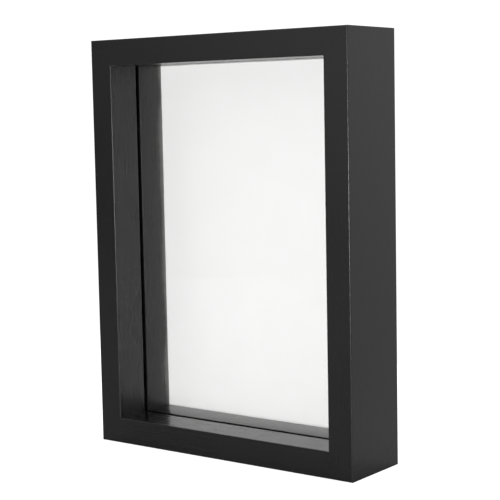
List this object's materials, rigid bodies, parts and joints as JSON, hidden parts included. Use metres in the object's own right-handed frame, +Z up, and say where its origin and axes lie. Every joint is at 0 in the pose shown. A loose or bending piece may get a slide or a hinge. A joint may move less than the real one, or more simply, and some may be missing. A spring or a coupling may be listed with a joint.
{
  "type": "shadow box",
  "caption": "Deep black wooden display frame with glass set half way back, a white card behind it, a lift-off back held by turn buttons, and hangers for both ways up.",
  "frame": {"origin": "centre of the underside, half way between the rails' front and rear faces", "axes": "+Z up along the long side, +X to the right as seen from the front, and the front faces -Y"},
  "size_m": [0.1524, 0.0425, 0.2032],
  "materials": {
    "black_paint": "satin black paint on fine-grained wood",
    "spacer_black": "satin black paint, thinner along the rear edge",
    "clear_glass": "clear polished sheet glass",
    "white_card": "smooth matte white card",
    "hardboard": "smooth brown pressed fibre board",
    "zinc_plated_steel": "bright zinc plating"
  },
  "bodies": {
    "frame": {"rail_top": "black_paint", "rail_bottom": "black_paint", "rail_left": "black_paint", "rail_right": "black_paint", "spacer_top": "spacer_black", "spacer_bottom": "spacer_black", "spacer_left": "spacer_black", "spacer_right": "spacer_black", "glass_pane": "clear_glass", "corner_nail_bottom_left": "zinc_plated_steel", "corner_nail_top_left": "zinc_plated_steel", "corner_nail_top_right": "zinc_plated_steel", "corner_nail_bottom_right": "zinc_plated_steel", "pivot_screw_left_upper": "zinc_plated_steel", "pivot_screw_left_lower": "zinc_plated_steel", "pivot_screw_right_upper": "zinc_plated_steel", "pivot_screw_right_lower": "zinc_plated_steel", "hanger_upright": "zinc_plated_steel", "hanger_sideways": "zinc_plated_steel", "hanger_nail_upright_a": "zinc_plated_steel", "hanger_nail_upright_b": "zinc_plated_steel", "hanger_nail_sideways_a": "zinc_plated_steel", "hanger_nail_sideways_b": "zinc_plated_steel"},
    "back": {"back_panel": "hardboard", "backing_card": "white_card"},
    "button_left_upper": {"turn_button_left_upper": "zinc_plated_steel"},
    "button_left_lower": {"turn_button_left_lower": "zinc_plated_steel"},
    "button_right_upper": {"turn_button_right_upper": "zinc_plated_steel"},
    "button_right_lower": {"turn_button_right_lower": "zinc_plated_steel"}
  },
  "joints": [
    {"name": "button_left_upper_turn", "type": "hinge", "parent": "frame", "child": "button_left_upper", "pos_m": [-0.07111, 0.0198, 0.1546], "axis": [0, -1, 0], "continuous": true},
    {"name": "button_left_lower_turn", "type": "hinge", "parent": "frame", "child": "button_left_lower", "pos_m": [-0.07111, 0.0198, 0.0486], "axis": [0, -1, 0], "continuous": true},
    {"name": "button_right_upper_turn", "type": "hinge", "parent": "frame", "child": "button_right_upper", "pos_m": [0.07111, 0.0198, 0.1546], "axis": [0, 1, 0], "continuous": true},
    {"name": "button_right_lower_turn", "type": "hinge", "parent": "frame", "child": "button_right_lower", "pos_m": [0.07111, 0.0198, 0.0486], "axis": [0, 1, 0], "continuous": true},
    {"name": "back_lift_off", "type": "slide", "parent": "frame", "child": "back", "axis": [0, 1, 0], "range_m": [0, 0.06]}
  ]
}
